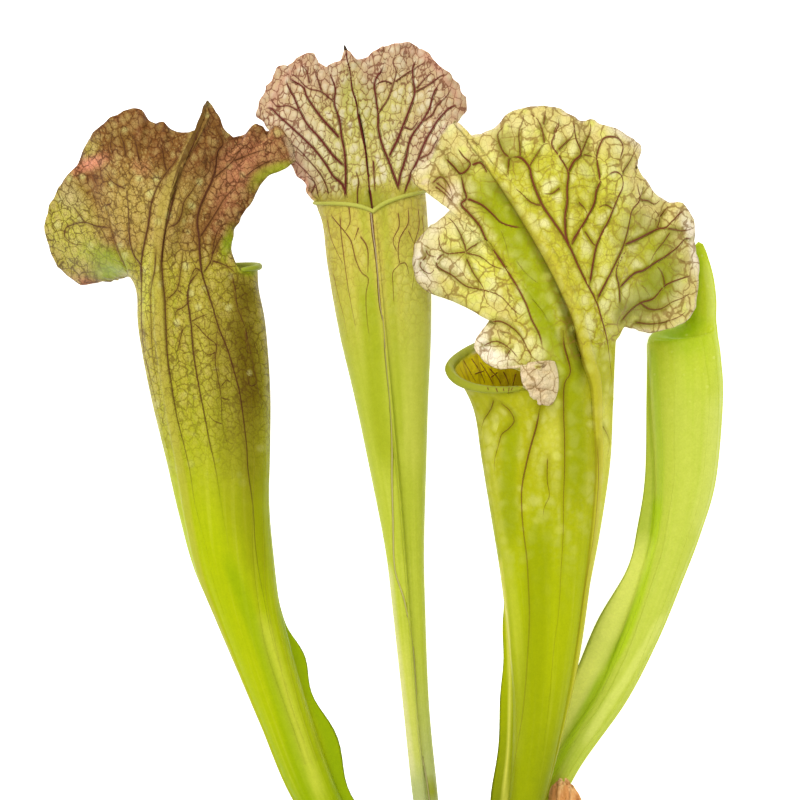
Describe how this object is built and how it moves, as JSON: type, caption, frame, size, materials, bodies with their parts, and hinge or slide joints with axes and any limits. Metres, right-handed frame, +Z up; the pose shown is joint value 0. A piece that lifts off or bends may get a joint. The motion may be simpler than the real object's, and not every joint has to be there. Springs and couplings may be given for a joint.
{
  "type": "trumpet pitcher plant",
  "caption": "Lifted trumpet pitcher plant lying flat: tall hollow pitcher leaves with frilled, netted hoods, a young closed pitcher, a dry leaf, a creeping stem and short roots.",
  "frame": {"origin": "below the middle of the whole plant's box, on the surface that it lies on", "axes": "+Y from the roots towards the hoods, +X to the picture's right, +Z up from the surface, towards the picture's camera"},
  "size_m": [0.2042, 0.3332, 0.0702],
  "materials": {
    "leaf_brown": "satin living leaf, olive brown hood over a yellow-green tube",
    "leaf_cream": "satin living leaf, cream hood with dark red net veins",
    "leaf_gold": "satin living leaf, golden green hood with brown net veins",
    "leaf_green": "smooth bright green young leaf",
    "dry_leaf": "dry, brown, finely netted",
    "creeping_stem": "rough brown stem",
    "sheath_scale": "dry brown scale",
    "root": "pale brown root"
  },
  "bodies": {
    "root": {"pitcher_left": "leaf_brown", "pitcher_middle": "leaf_cream", "pitcher_front": "leaf_gold", "pitcher_young": "leaf_green", "dried_leaf": "dry_leaf", "rhizome": "creeping_stem", "base_scale_1": "sheath_scale", "base_scale_2": "sheath_scale", "base_scale_3": "sheath_scale", "base_scale_4": "sheath_scale", "root_1": "root", "root_2": "root", "root_3": "root", "root_4": "root", "root_5": "root", "root_6": "root", "root_7": "root"}
  },
  "joints": []
}
